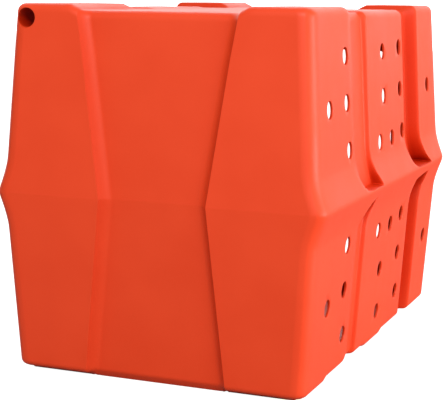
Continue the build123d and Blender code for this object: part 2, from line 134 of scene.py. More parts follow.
print("shell", 2 * END_X, 2 * END_Y, HEIGHT, "parting line", MID)


# %% [markdown]
# First the plain body: how wide and long it is at each height. The moulding draws out of two
# tool halves, so it is widest at the parting line, and the belt flares out beyond that.

# %% Size at each height
BELT_TIP, BELT_SOFT = 0.11, 0.012


def belt_flare(z):
    """How far the belt stands out at height z: its full depth times (1 + tip - d)^1.6, where d is
    the distance from the parting line over the belt's reach, rounded at 0 by sqrt(d^2 + soft)."""
    beside = np.sqrt(((z - MID) / BELT_REACH) ** 2 + BELT_SOFT)
    return BELT_PROUD * np.clip(1 + BELT_TIP - beside, 0, 1) ** 1.6


def half_sizes(z):
    """Half-width and half-length at height z: straight draft each way from the parting line, plus
    the belt on the sides."""
    away = np.abs(z - MID) / np.where(z > MID, HEIGHT - MID, MID)
    return MID_X + (END_X - MID_X) * away + belt_flare(z), MID_Y + (END_Y - MID_Y) * away


print("half-width at floor, belt and roof", *(half_sizes(np.array(z))[0] for z in (0, MID, HEIGHT)))


# %% [markdown]
# Next the lines of the grid. A line along the kennel keeps its place beside a groove's edge at
# every height, so the places are worked out from the edges, with a few lines packed round each.

# %% Lines of the grid
ROOF_INSETS = np.array([0, 7, 10.4, 14, 24]) * mm
EDGE = 8 * mm


def between(keys, counts):
    """Lines at the keys and evenly between them: counts[i] steps from key i to key i + 1."""
    lines = [keys[..., :1]]
    for i, count in enumerate(counts):
        share = np.arange(1, count + 1) / count
        lines.append(keys[..., i:i + 1] + (keys[..., i + 1:i + 2] - keys[..., i:i + 1]) * share)
    return np.concatenate(lines, axis=-1)


def groove_edges(z):
    """Edges of the two side grooves along Y at height z, front to rear. They shift between the
    lower and the upper half, and near the belt they sweep forward by t^2 of the sweep."""
    up = smooth_step(z, MID, BAR)
    sweep = GROOVE_SWEEP * np.clip(1 - np.abs(z - MID) / SWEEP_HEIGHT, 0, 1) ** 2
    front_a = (-287 + 16 * up) * mm - sweep
    front_b = (-205 + 53 * up) * mm - sweep
    rear_a = (133 - 12 * up) * mm - sweep
    rear_b = (172 + 32 * up) * mm - sweep
    return front_a, front_b, rear_a, rear_b


def y_lines(z, fine):
    """Places along Y of the grid's lines at each height, as rows; fine multiplies their number."""
    front_a, front_b, rear_a, rear_b = groove_edges(z)
    one = np.ones_like(z)
    keys = [-(END_Y - inset) * one for inset in ROOF_INSETS]
    counts = [1, 1, 1, 1, 5]
    for edge in (front_a, front_b):
        keys += [edge - EDGE, edge + EDGE]
        counts += [8, 4]
    counts[-1] = 10
    keys += [rear_a - EDGE, rear_a + EDGE]
    counts += [8, 4]
    keys += [rear_b - 22 * mm, rear_b + 42 * mm, rear_b + 96 * mm]
    counts += [6, 9]
    keys += [(END_Y - inset) * one for inset in ROOF_INSETS[::-1]]
    counts += [6, 1, 1, 1, 1]
    steps = [max(1, round(count * fine)) for count in counts]
    return between(np.stack(keys, -1), steps)


def waist_half(z):
    """Half-width of the recessed rear panel: an hourglass, narrowest at the parting line."""
    upper = WAIST + (WAIST_AT_ROOF - WAIST) * (z - MID) / (HEIGHT - MID)
    lower = WAIST + (WAIST_AT_BASE - WAIST) * (MID - z) / MID
    return np.where(z > MID, upper, lower)


def x_lines(z, fine):
    """Places along X of the grid's lines at each height, mirrored about the middle."""
    waist = waist_half(z)
    one = np.ones_like(z)
    side = SURROUND[0]
    left = [-(END_X - inset) * one for inset in ROOF_INSETS]
    left += [-(side - 8 * mm) * one, -waist - 16 * mm, -waist - 12 * mm, -waist + 9 * mm]
    right = [-key for key in left[::-1]]
    half = [1, 1, 1, 1, 3, 5, 3, 8]
    counts = half + [9] + half[::-1]
    steps = [max(1, round(count * fine)) for count in counts]
    return between(np.stack(left + right, -1), steps)


def wall_rows(fine):
    """Heights of the wall's rows and how far each is drawn in by the roof's and base's rounding."""
    turns = np.radians([45, 30, 15, 0])
    low = PANEL_LIFT + BASE_ROUND * (1 - np.sin(turns))
    high = HEIGHT - ROOF_ROUND * (1 - np.sin(turns[::-1]))
    bar_low, bar_high = MID - BAR / 2, MID + BAR / 2
    keys = np.array([low[-1], low[-1] + 10 * mm, MID - BELT_REACH, bar_low - 12 * mm, bar_low + 4 * mm,
                     MID - 5 * mm, MID + 1.5 * mm, MID + 6.5 * mm, bar_high + 6 * mm, MID + BELT_REACH,
                     SURROUND[2] - 8 * mm, SURROUND[2] + 8 * mm, high[0]])
    steps = [max(1, round(count * fine)) for count in (3, 12, 9, 8, 4, 3, 6, 6, 10, 12, 5, 4)]
    rows = np.concatenate([low[:-1], between(keys, steps), high[1:]])
    draws = np.zeros(len(rows))
    draws[:4] = BASE_ROUND * (1 - np.cos(turns))
    draws[-4:] = ROOF_ROUND * (1 - np.cos(turns[::-1]))
    return rows, draws


print("lines along the side, across the end and up the wall:",
      y_lines(np.array([MID]), 1).shape[1], x_lines(np.array([MID]), 1).shape[1], len(wall_rows(1)[0]))

# %% [markdown]
# The depths come next. Each is a small formula that gives how far the surface is pushed in at a
# place, built from smooth steps, and it is the same formula on the wall, the roof and the base.

# %% Depths of grooves and recesses
def side_depth(y, z):
    """Side grooves: a deep one with a square front step, and a shallow one whose rear side is a long
    ramp. Both stop at the belt bar, on a sharp ledge above it and a curved pocket below it."""
    front_a, front_b, rear_a, rear_b = groove_edges(z)
    flare = belt_flare(z)
    deep = smooth_step(y, front_a, 9 * mm) * (1 - smooth_step(y, front_b, 14 * mm))
    ramp = 1 - smooth_step(y, rear_b + 8 * mm, RAMP_LENGTH)
    shallow = smooth_step(y, rear_a, 9 * mm) * ramp
    above = smooth_step(z, MID + 4 * mm, 5 * mm)
    droop = 26 * mm * np.clip((y - rear_a) / (rear_b - rear_a), 0, 1.2) ** 1.5
    droop_deep = 8 * mm * np.clip((y - front_a) / (front_b - front_a), 0, 1.2) ** 1.5
    below = 1 - smooth_step(z, MID - BAR / 2 - 4 * mm - droop, 14 * mm)
    below_deep = 1 - smooth_step(z, MID - BAR / 2 - 3 * mm - droop_deep, 12 * mm)
    open_shallow = np.where(z > MID, above, below)
    open_deep = np.where(z > MID, above, below_deep)
    return open_deep * deep * (CORE_IN + flare) + open_shallow * shallow * (SHALLOW + flare)


def rear_depth(x, z):
    """Recessed rear panel between two slanting edges. Each drops off sharply at the edge and lands
    softly, as 1 - (1 - t)^1.9 over the shoulder's width."""
    t = np.clip((waist_half(z) + 13 * mm - np.abs(x)) / SHOULDER, 0, 1)
    return END_IN * (1 - (1 - t) ** 1.9)


def surround_mask(x, z):
    """1 on the flat door surround and 0 off it, with softened borders."""
    half_width, low, high = SURROUND
    across = 1 - smooth_step(np.abs(x), half_width + 2 * mm, 10 * mm)
    return across * smooth_step(z, low - 2 * mm, 8 * mm) * (1 - smooth_step(z, high + 3 * mm, 10 * mm))


def block_rise(x, y):
    """Height of the roof above its channel: three pairs of blocks, the middle pair lower."""
    front_a, front_b, rear_a, rear_b = groove_edges(np.array(HEIGHT))
    across = smooth_step(np.abs(x), BLOCKS_FROM, 22 * mm)
    front = 1 - smooth_step(y, front_a - 3 * mm, 9 * mm)
    middle = smooth_step(y, front_b + 3 * mm, 12 * mm) * (1 - smooth_step(y, rear_a - 3 * mm, 9 * mm))
    rear = smooth_step(y, rear_b + 8 * mm, 14 * mm)
    return across * (BLOCK_RISE * (front + rear) + 3 * mm * middle)


def base_height(x, y, inset, pushed_in):
    """Underside: the panels' bottoms are lifted, and step up once more; the core reaches the floor."""
    steps = (PANEL_STEP * (1 - smooth_step(y, 320 * mm, 8 * mm)) * smooth_step(y, 60 * mm, 20 * mm)
             + PANEL_STEP * (1 - smooth_step(y, -60 * mm, 8 * mm)) * smooth_step(y, -240 * mm, 20 * mm))
    edge_in = np.where(np.abs(x) / END_X > np.abs(y) / END_Y, CORE_IN, END_IN + 6 * mm)
    ring = 1 - smooth_step(inset + pushed_in, edge_in, 12 * mm)
    return ring * (PANEL_LIFT + steps)


print("groove depth at mid-panel height", side_depth(np.array([-0.24, 0.15]), np.array([0.5, 0.5])))


# %% [markdown]
# Now the six faces of the cube. All of them go through one function, so their shared edges land
# on exactly the same points and can be welded into a closed skin.

# %% Cube of lines onto the kennel
def skin_points(x, y, z, draw, on_top, on_base):
    """Point of the skin for a place on the cube. In plan, nested rounded rectangles: q is the place
    clamped to the straight part, and the point is q plus the corner radius along (place - q). Then
    the point is pushed in along that direction by the draw and the groove depths, and its height is
    that of the roof blocks or of the underside."""
    inset = np.minimum(END_X - np.abs(x), END_Y - np.abs(y))
    inset = np.maximum(inset, 0)
    radius = np.maximum(CORNER - inset, 0)
    qx = np.clip(x, -(END_X - inset - radius), END_X - inset - radius)
    qy = np.clip(y, -(END_Y - inset - radius), END_Y - inset - radius)
    dx, dy = x - qx, y - qy
    reach = np.maximum(np.hypot(dx, dy), 1e-9)
    nx, ny = dx / reach, dy / reach
    px, py = qx + nx * radius, qy + ny * radius
    flat = on_top | on_base
    wide, long = half_sizes(z)
    near_side = np.clip((np.abs(x) - 170 * mm) / (80 * mm), 0, 1) ** 1.5
    near_end = np.clip((np.abs(y) - 300 * mm) / (110 * mm), 0, 1)
    px += np.sign(x) * (wide - END_X) * near_side
    py += np.sign(y) * (long - END_Y) * near_end

    # the rim that wall and roof (or wall and base) share is half-way round the rounding
    turn_radius = np.where(on_base, BASE_ROUND, ROOF_ROUND)
    rim = turn_radius * (1 - math.sqrt(0.5))
    edge_x = (END_X - np.abs(x)) <= (END_Y - np.abs(y))
    face_x = np.where(radius > 0, nx, np.where(edge_x, np.sign(x), 0))
    face_y = np.where(radius > 0, ny, np.where(edge_x, 0, np.sign(y)))
    rim_pull = np.where(flat, np.maximum(rim - inset, 0), draw)
    px -= face_x * rim_pull
    py -= face_y * rim_pull

    # on the roof and the underside the recesses die out over 90 mm, starting 14 mm in
    fade_side = np.where(flat, 1 - np.clip((END_X - np.abs(x) - 14 * mm) / (90 * mm), 0, 1), 1)
    fade_end = np.where(flat, 1 - np.clip((END_Y - np.abs(y) - 14 * mm) / (90 * mm), 0, 1), 1)
    pushed = side_depth(py, z) * fade_side
    pushed_end = np.where(y > 0, rear_depth(px, z), 0) * fade_end
    side_pull = np.where(flat, np.sign(x), face_x)
    end_pull = np.where(flat, np.sign(y), face_y)
    flattened = (long - FRONT_FACE) * surround_mask(px, z) * np.abs(ny)
    flat_front = np.where(flat | (y > 0), 0, flattened)
    new_x = px - side_pull * pushed
    new_y = py - end_pull * pushed_end + flat_front

    roof = HEIGHT - BLOCK_RISE + block_rise(new_x, new_y)
    across_top = np.clip(np.maximum(inset, rim) / ROOF_ROUND, 0, 1)
    across_base = np.clip(np.maximum(inset, rim) / BASE_ROUND, 0, 1)
    roof_z = roof - ROOF_ROUND * (1 - np.sqrt(1 - (1 - across_top) ** 2))
    base_rim = BASE_ROUND * (1 - math.sqrt(0.5))
    under = base_height(new_x, new_y, np.maximum(inset, base_rim), np.maximum(pushed, pushed_end))
    base_z = under + BASE_ROUND * (1 - np.sqrt(1 - (1 - across_base) ** 2))
    near_top = np.clip((z - (HEIGHT - 90 * mm)) / (90 * mm - ROOF_ROUND), 0, 1)
    near_base = np.clip((80 * mm - z) / (80 * mm - PANEL_LIFT - BASE_ROUND), 0, 1)
    wall_z = z + (roof - HEIGHT) * near_top + (under - PANEL_LIFT) * near_base
    new_z = np.where(on_top, roof_z, np.where(on_base, base_z, wall_z))
    return np.stack([new_x, new_y, new_z], -1)


def kennel_skin(fine):
    """Closed skin as points and quads: four walls, the roof and the underside, faces outwards."""
    rows, draws = wall_rows(fine)
    ys, xs = y_lines(rows, fine), x_lines(rows, fine)
    z_y, z_x = (np.broadcast_to(rows[:, None], lines.shape) for lines in (ys, xs))
    d_y, d_x = (np.broadcast_to(draws[:, None], lines.shape) for lines in (ys, xs))
    no_y, no_x = np.zeros(ys.shape, bool), np.zeros(xs.shape, bool)
    points, faces, start = [], [], 0

    def add(grid, flip):
        nonlocal start
        quads = grid_quads(*grid.shape[:2], start)
        points.append(grid.reshape(-1, 3))
        faces.append(quads[:, ::-1] if flip else quads)
        start += grid.shape[0] * grid.shape[1]

    for sign in (1, -1):
        add(skin_points(np.full(ys.shape, sign * END_X), ys, z_y, d_y, no_y, no_y), sign < 0)
        add(skin_points(xs, np.full(xs.shape, sign * END_Y), z_x, d_x, no_x, no_x), sign > 0)
    for level, at_top in ((rows[-1:], True), (rows[:1], False)):
        line_y, line_x = y_lines(level, fine)[0], x_lines(level, fine)[0]
        gx, gy = np.meshgrid(line_x, line_y)
        on_top = np.full(gx.shape, at_top)
        heights = np.full(gx.shape, level[0])
        add(skin_points(gx, gy, heights, np.zeros(gx.shape), on_top, ~on_top), not at_top)
    return np.concatenate(points), np.concatenate(faces)


# %% [markdown]
# The inside of the moulding is the same skin moved in by the wall's thickness along its own
# normals, with fewer lines because it is seen in shade. Turned inside out and joined to the outer
# skin it makes one hollow solid, which the cutters below can then open.

# %% Hollow moulding
def welded_piece(name, points, faces):
    """A mesh object whose touching points are welded, so that the six faces close up."""
    piece = make_piece(name, points, faces)
    merge_doubles(piece, 0.05 * mm)
    return piece


def moved_along_normals(piece, distance):
    """Points and faces of a piece with every point moved along its normal."""
    count = len(piece.data.vertices)
    points, normals = np.empty(count * 3), np.empty(count * 3)
    piece.data.vertices.foreach_get("co", points)
    piece.data.vertices.foreach_get("normal", normals)
    quads = [list(polygon.vertices) for polygon in piece.data.polygons]
    return (points + normals * distance).reshape(-1, 3), np.array(quads)


def apply_modifiers(piece):
    """Replaces the piece's mesh by what its modifiers make of it."""
    bpy.context.view_layer.update()
    depsgraph = bpy.context.evaluated_depsgraph_get()
    result = bpy.data.meshes.new_from_object(piece.evaluated_get(depsgraph))
    piece.modifiers.clear()
    piece.data = result


def boolean(piece, tool, operation):
    """Joins, cuts or trims the piece with a closed tool, and removes the tool."""
    step = piece.modifiers.new("boolean", "BOOLEAN")
    step.operation, step.object, step.solver = operation, tool, "MANIFOLD"
    apply_modifiers(piece)
    bpy.data.objects.remove(tool)


shell = welded_piece("kennel_moulding", *kennel_skin(1.3))
rough_skin = welded_piece("rough_skin", *kennel_skin(0.85))
inner_points, inner_faces = moved_along_normals(rough_skin, -WALL)
trim_points, trim_faces = moved_along_normals(rough_skin, -1.2 * mm)
outer_points, outer_faces = moved_along_normals(shell, 0)
bpy.data.objects.remove(shell)
bpy.data.objects.remove(rough_skin)
shell = make_piece("kennel_moulding", np.concatenate([outer_points, inner_points]),
                   np.concatenate([outer_faces, inner_faces[:, ::-1] + len(outer_points)]))
print("hollow shell", len(shell.data.vertices), "points")


# %% [markdown]
# The doorway, vents, corner port and screw bosses are all turned or carried profiles. A tool that
# flares out by a millimetre where it meets the skin leaves the small rounded edge that a router
# leaves on the real moulding.

# %% Profiles turned about an axis or carried round a doorway
def turned(profile, centre, axis, segments=40, shear=0.0):
    """Closed solid of a profile [(distance along the axis, radius), ...] turned about the axis.
    Its points are centre + along * axis + radius * (cos t * side + sin t * up), and shear leans
    each ring along the axis by that share of its height above the centre."""
    axis = np.asarray(axis, float)
    up = np.array([0, 0, 1.0]) if abs(axis[2]) < 0.9 else np.array([0, 1.0, 0])
    side = np.cross(up, axis)
    t = np.linspace(0, 2 * np.pi, segments, endpoint=False)
    along, radius = np.array(profile, float).T
    ring = np.cos(t)[None, :, None] * side + np.sin(t)[None, :, None] * up
    rise = np.sin(t)[None, :] * radius[:, None] * shear
    points = np.asarray(centre) + (along[:, None] + rise)[..., None] * axis + radius[:, None, None] * ring
    faces = grid_quads(len(profile), segments, close_columns=True)
    points = points.reshape(-1, 3)
    last = (len(profile) - 1) * segments
    caps = [list(range(segments)), list(range(last, last + segments))[::-1]]
    return points, [list(f) for f in faces[:, ::-1]] + caps


def joined(parts):
    """Several (points, faces) pairs as one pair."""
    all_points, all_faces, start = [], [], 0
    for points, faces in parts:
        all_points.append(points)
        all_faces += [[int(i) + start for i in face] for face in faces]
        start += len(points)
    return np.concatenate(all_points), all_faces


def rounded_rectangle(width, height, radius, per_corner=12):
    """Points anticlockwise round a rounded rectangle, with their outward directions."""
    turn = np.linspace(0, np.pi / 2, per_corner)
    places, outward = [], []
    for quarter, (sx, sz) in enumerate(((1, 1), (-1, 1), (-1, -1), (1, -1))):
        angle = turn + quarter * np.pi / 2
        out = np.stack([np.cos(angle), np.sin(angle)], -1)
        places.append(out * radius + [sx * (width / 2 - radius), sz * (height / 2 - radius)])
        outward.append(out)
    return np.concatenate(places), np.concatenate(outward)


def carried(profile, path, outward, centre, closed_profile=False):
    """A profile [(y, out), ...] carried round a path in the XZ plane: each point is the path's,
    moved by out along the path's outward direction and set at depth y."""
    y, out = np.array(profile, float).T
    flat = path[None] + out[:, None, None] * outward[None]
    depth = np.broadcast_to(y[:, None], flat.shape[:2])
    points = np.stack([centre[0] + flat[..., 0], depth, centre[1] + flat[..., 1]], -1)
    if closed_profile:
        points = np.concatenate([points, points[:1]])
    faces = grid_quads(*points.shape[:2], close_columns=True)
    return points, faces


# %% [markdown]
# Three things stand inside the wall: the tube behind the corner port, a boss behind each door
# screw, and the doorway's turned-in edge. They are joined before anything is cut, so that the cuts
# go through them too. The screws' places are read from the CAD inserts: a point's neighbours within
# a screw's width have their mean at the screw's axis, so equal means are one screw.

# %% Corner port, bosses and the doorway's turned-in edge
PORT_X, PORT_Z, PORT_RADIUS, PORT_DEEP = 253 * mm, 648 * mm, 17 * mm, 398 * mm
LIP_DEEP, BOSS_RADIUS, BOSS_DEEP, SCREW_WIDTH = 20 * mm, 9 * mm, 14 * mm, 9 * mm
DOOR_WIDTH, DOOR_LOW, DOOR_HIGH, DOOR_CORNER = 390 * mm, 72 * mm, 570 * mm, 40 * mm
door_centre = (0, (DOOR_LOW + DOOR_HIGH) / 2)
door_path, door_outward = rounded_rectangle(DOOR_WIDTH, DOOR_HIGH - DOOR_LOW, DOOR_CORNER)

collar = make_piece("collar", *turned([(PORT_DEEP, PORT_RADIUS + WALL), (460 * mm, PORT_RADIUS + WALL)],
                                      (PORT_X, 0, PORT_Z), (0, 1, 0)))
boolean(collar, make_piece("trim", trim_points, trim_faces), "INTERSECT")
boolean(shell, collar, "UNION")

inserts = nodes["threaded_inserts"].data
insert_points = np.empty(len(inserts.vertices) * 3)
inserts.vertices.foreach_get("co", insert_points)
spots = insert_points.reshape(-1, 3)[:, [0, 2]]
near = np.linalg.norm(spots[:, None] - spots[None], axis=-1) < SCREW_WIDTH
screw_spots = np.unique(np.round(near @ spots / near.sum(axis=1)[:, None], 6), axis=0)
print("screw spots", np.round(screw_spots / mm, 1).tolist())
boss = [(-FRONT_FACE + 1 * mm, BOSS_RADIUS), (-FRONT_FACE + BOSS_DEEP, BOSS_RADIUS),
        (-FRONT_FACE + BOSS_DEEP + 1 * mm, BOSS_RADIUS - 1 * mm)]
bosses = make_piece("bosses", *joined([turned(boss, (x, 0, z), (0, 1, 0), 28) for x, z in screw_spots]))
merge_doubles(bosses, 0.001 * mm, outward=True)
boolean(shell, bosses, "UNION")

lip_end = -FRONT_FACE + LIP_DEEP
lip_turn = np.linspace(0, np.pi, 7)[1:-1]
lip = [(-FRONT_FACE + 1 * mm, 0), (lip_end, 0)]
lip += [(lip_end + math.sin(t) * WALL / 2, (1 - math.cos(t)) * WALL / 2) for t in lip_turn]
lip += [(lip_end, WALL), (-FRONT_FACE + 1 * mm, WALL)]
lip_points, lip_faces = carried(lip, door_path, door_outward, door_centre, closed_profile=True)
lip_ring = make_piece("lip", lip_points, lip_faces)
merge_doubles(lip_ring, 0.01 * mm, outward=True)
boolean(shell, lip_ring, "UNION")

# %% [markdown]
# All the openings are cut last. The doorway's tool follows a quarter round where it leaves the
# front face. The vents are drilled level while the walls lean with their draft, so each tool's rings
# lean too, which keeps its flare on the skin. All the round tools are one mesh and make one cut.

# %% Cut the doorway, the port and the vents
EDGE_ROUND, CLEAR = 2.5 * mm, 0.01 * mm
turns = np.linspace(0, np.pi / 2, 5)
cut = [(-FRONT_FACE + 60 * mm, -1.5 * mm), (lip_end + 4 * mm, -1.5 * mm), (lip_end, CLEAR)]
cut += [(-FRONT_FACE + EDGE_ROUND * (1 - math.sin(t)), EDGE_ROUND * (1 - math.cos(t)) + CLEAR)
        for t in turns]
cut += [(-FRONT_FACE - 30 * mm, EDGE_ROUND + CLEAR)]
cut_points, cut_faces = carried(cut, door_path, door_outward, door_centre)
rings, around = cut_points.shape[:2]
caps = [list(range(around))[::-1], list(range((rings - 1) * around, rings * around))]
cut_faces = [list(face) for face in cut_faces] + caps
doorway_tool = make_piece("doorway_tool", cut_points, cut_faces)
merge_doubles(doorway_tool, 0.001 * mm, outward=True)
boolean(shell, doorway_tool, "DIFFERENCE")

VENT_RADIUS, VENT_FLARE = 15.75 * mm, 1.2 * mm
VENTS_UPPER = ((259, 588), (257, 505), (250, 420), (361, 500), (9, 587), (-116, 591),
               (6, 501), (-118, 507), (41, 414), (-46, 415), (-128, 422), (-358, 502))
VENTS_LOWER = ((231, 77), (246, 164), (247, 247), (345, 151), (-8, 67), (-150, 80),
               (-3, 155), (-139, 165), (33, 239), (-56, 239), (-139, 248), (-370, 163))
round_tools = []
for place in VENTS_UPPER + VENTS_LOWER:
    y, z = place[0] * mm, place[1] * mm
    surface = float(half_sizes(np.array(z))[0] - side_depth(np.array(y), np.array(z)))
    slope = (MID_X - END_X) / (HEIGHT - MID) * (-1 if z > MID else 1)
    profile = [(surface - 40 * mm, VENT_RADIUS), (surface - 1 * mm, VENT_RADIUS),
               (surface - 0.3 * mm, VENT_RADIUS + VENT_FLARE / 3),
               (surface + 0.3 * mm, VENT_RADIUS + VENT_FLARE), (surface + 40 * mm, VENT_RADIUS + VENT_FLARE)]
    for side in (1, -1):
        round_tools.append(turned(profile, (0, y, z), (side, 0, 0), shear=slope))
PORT_FACE, PORT_FLARE = 442 * mm, 2 * mm
port = [(PORT_DEEP - 20 * mm, PORT_RADIUS), (PORT_FACE - 3 * mm, PORT_RADIUS),
        (PORT_FACE - 1 * mm, PORT_RADIUS + PORT_FLARE / 4),
        (PORT_FACE + 0.5 * mm, PORT_RADIUS + PORT_FLARE), (PORT_FACE + 30 * mm, PORT_RADIUS + PORT_FLARE)]
round_tools.append(turned(port, (PORT_X, 0, PORT_Z), (0, 1, 0)))
INSERT_SEAT = 4.02 * mm
seat = [(-FRONT_FACE + depth, INSERT_SEAT) for depth in (12 * mm, 0, -20 * mm)]
round_tools += [turned(seat, (x, 0, z), (0, 1, 0), 28) for x, z in screw_spots]
tool = make_piece("round_tools", *joined(round_tools))
merge_doubles(tool, 0.001 * mm, outward=True)
boolean(shell, tool, "DIFFERENCE")
shell.data.polygons.foreach_set("use_smooth", np.ones(len(shell.data.polygons), bool))
shell.data.set_sharp_from_angle(angle=math.radians(38))
triangles = sum(len(polygon.vertices) - 2 for polygon in shell.data.polygons)
print("finished shell", len(shell.data.vertices), "points", triangles, "triangles")

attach(shell, "kennel")
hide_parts("kennel_shell")

# %% [markdown]
# Moulded polyethylene is not one flat colour. Its skin copies the oven mould, so it has a very
# fine pebble, a slow waviness that stretches reflections, and a faint cloudiness in the colour.
# Nylon and powder coat have the same kinds of unevenness at other sizes, so the unevenness is one
# node group with its own scales, placed in each material with its own values.

# %% Node group: moulded or sprayed skin
def add_socket(group, name, kind, in_out, value=None):
    socket = group.interface.new_socket(name=name, in_out=in_out, socket_type=kind)
    if value is not None:
        socket.default_value = value
    return socket


def new_node(tree, kind, **settings):
    node = tree.nodes.new(kind)
    for key, value in settings.items():
        setattr(node, key, value)
    return node


def math_node(tree, operation, first, second, clamp=False):
    """A Math node of two sockets or numbers, giving its result socket."""
    node = new_node(tree, "ShaderNodeMath", operation=operation, use_clamp=clamp)
    for socket, value in zip(node.inputs, (first, second)):
        if isinstance(value, (int, float)):
            socket.default_value = value
        else:
            tree.links.new(value, socket)
    return node.outputs[0]


def skin_group():
    """Object coordinates in, pebble height and cloudiness out: height is fine noise plus a tenth as
    much slow waviness, and cloudiness is slow noise spread over 0 to 1."""
    group = bpy.data.node_groups.new("uneven_skin", "ShaderNodeTree")
    add_socket(group, "Pebble Scale", "NodeSocketFloat", "INPUT", 900.0)
    add_socket(group, "Wave Scale", "NodeSocketFloat", "INPUT", 12.0)
    add_socket(group, "Wave Share", "NodeSocketFloat", "INPUT", 0.5)
    add_socket(group, "Height", "NodeSocketFloat", "OUTPUT")
    add_socket(group, "Cloud", "NodeSocketFloat", "OUTPUT")
    ends = new_node(group, "NodeGroupInput"), new_node(group, "NodeGroupOutput")
    place = new_node(group, "ShaderNodeTexCoord").outputs["Object"]
    pebble = new_node(group, "ShaderNodeTexNoise")
    pebble.inputs["Detail"].default_value = 3.0
    wave = new_node(group, "ShaderNodeTexNoise")
    wave.inputs["Detail"].default_value = 2.0
    for noise, scale in ((pebble, "Pebble Scale"), (wave, "Wave Scale")):
        group.links.new(place, noise.inputs["Vector"])
        group.links.new(ends[0].outputs[scale], noise.inputs["Scale"])
    waves = math_node(group, "MULTIPLY", wave.outputs["Fac"], ends[0].outputs["Wave Share"])
    group.links.new(math_node(group, "ADD", pebble.outputs["Fac"], waves), ends[1].inputs["Height"])
    spread = new_node(group, "ShaderNodeMapRange")
    spread.inputs["From Min"].default_value, spread.inputs["From Max"].default_value = 0.35, 0.65
    group.links.new(wave.outputs["Fac"], spread.inputs["Value"])
    group.links.new(spread.outputs["Result"], ends[1].inputs["Cloud"])
    return group


uneven_skin = skin_group()


def new_material(name, **settings):
    """A material with its Principled BSDF's plain values set by name."""
    material = bpy.data.materials.new(name)
    material.use_nodes = True
    shader = material.node_tree.nodes["Principled BSDF"]
    for key, value in settings.items():
        shader.inputs[key.replace("_", " ")].default_value = value
    return material, material.node_tree, shader


def add_skin(tree, shader, colours, roughness, pebble_scale, wave_scale, wave_share, depth, strength):
    """Places the uneven skin in a material: cloudiness mixes the two colours and the two roughness
    values, and height becomes a bump of the given depth. Gives back the mixed colour."""
    skin = new_node(tree, "ShaderNodeGroup", node_tree=uneven_skin)
    scales = {"Pebble Scale": pebble_scale, "Wave Scale": wave_scale, "Wave Share": wave_share}
    for name, value in scales.items():
        skin.inputs[name].default_value = value
    mix = new_node(tree, "ShaderNodeMix", data_type="RGBA")
    tree.links.new(skin.outputs["Cloud"], mix.inputs["Factor"])
    mix.inputs["A"].default_value, mix.inputs["B"].default_value = (*colours[0], 1), (*colours[1], 1)
    tree.links.new(mix.outputs["Result"], shader.inputs["Base Color"])
    rough = new_node(tree, "ShaderNodeMapRange")
    rough.inputs["To Min"].default_value, rough.inputs["To Max"].default_value = roughness
    tree.links.new(skin.outputs["Cloud"], rough.inputs["Value"])
    tree.links.new(rough.outputs["Result"], shader.inputs["Roughness"])
    bump = new_node(tree, "ShaderNodeBump")
    bump.inputs["Strength"].default_value, bump.inputs["Distance"].default_value = strength, depth
    tree.links.new(skin.outputs["Height"], bump.inputs["Height"])
    tree.links.new(bump.outputs["Normal"], shader.inputs["Normal"])
    return mix.outputs["Result"]


# %% [markdown]
# Painted shade: where the moulding closes in on itself, in grooves, recesses and creases, the colour
# is painted darker and redder to stand for the shade that falls there. Ambient occlusion, which says
# how enclosed a point is by its own piece, mixes in a deep colour and takes the gloss down in those
# places, which paints shade onto the reflections too.

# %% Orange polyethylene
GLOSS = 0.38
PAINTED_SHADE_ORANGE = (0.42, 0.012, 0.001, 1)
orange, orange_tree, orange_shader = new_material("moulded_orange", IOR=1.5, Specular_IOR_Level=GLOSS)
orange_colour = add_skin(orange_tree, orange_shader, ((0.93, 0.064, 0.0115), (0.96, 0.070, 0.0135)),
                         (0.46, 0.54), 700.0, 9.0, 0.6, 0.4 * mm, 0.35)
# painted shade: the occlusion below mixes a deep orange into the colour in grooves and recesses
shade = new_node(orange_tree, "ShaderNodeAmbientOcclusion", samples=8, only_local=True)
shade.inputs["Distance"].default_value = 0.3
deep = new_node(orange_tree, "ShaderNodeMix", data_type="RGBA")
deep.inputs["A"].default_value = PAINTED_SHADE_ORANGE
orange_tree.links.new(math_node(orange_tree, "POWER", shade.outputs["AO"], 1.3), deep.inputs["Factor"])
orange_tree.links.new(orange_colour, deep.inputs["B"])
orange_tree.links.new(deep.outputs["Result"], orange_shader.inputs["Base Color"])
# painted shade on the reflections: the gloss falls where the occlusion says a point is enclosed
openness = math_node(orange_tree, "POWER", shade.outputs["AO"], 2.0)
shaded_gloss = math_node(orange_tree, "MULTIPLY", openness, GLOSS)
orange_tree.links.new(shaded_gloss, orange_shader.inputs["Specular IOR Level"])
shell.data.materials.clear()
shell.data.materials.append(orange)

# %% [markdown]
# Metal that has been drawn, turned or brushed is scratched one way. The scratches are noise that
# is squeezed along the grain, so one node group makes them for the stainless pieces, the brass
# inserts and the bare spring steel, each with its own grain scale.

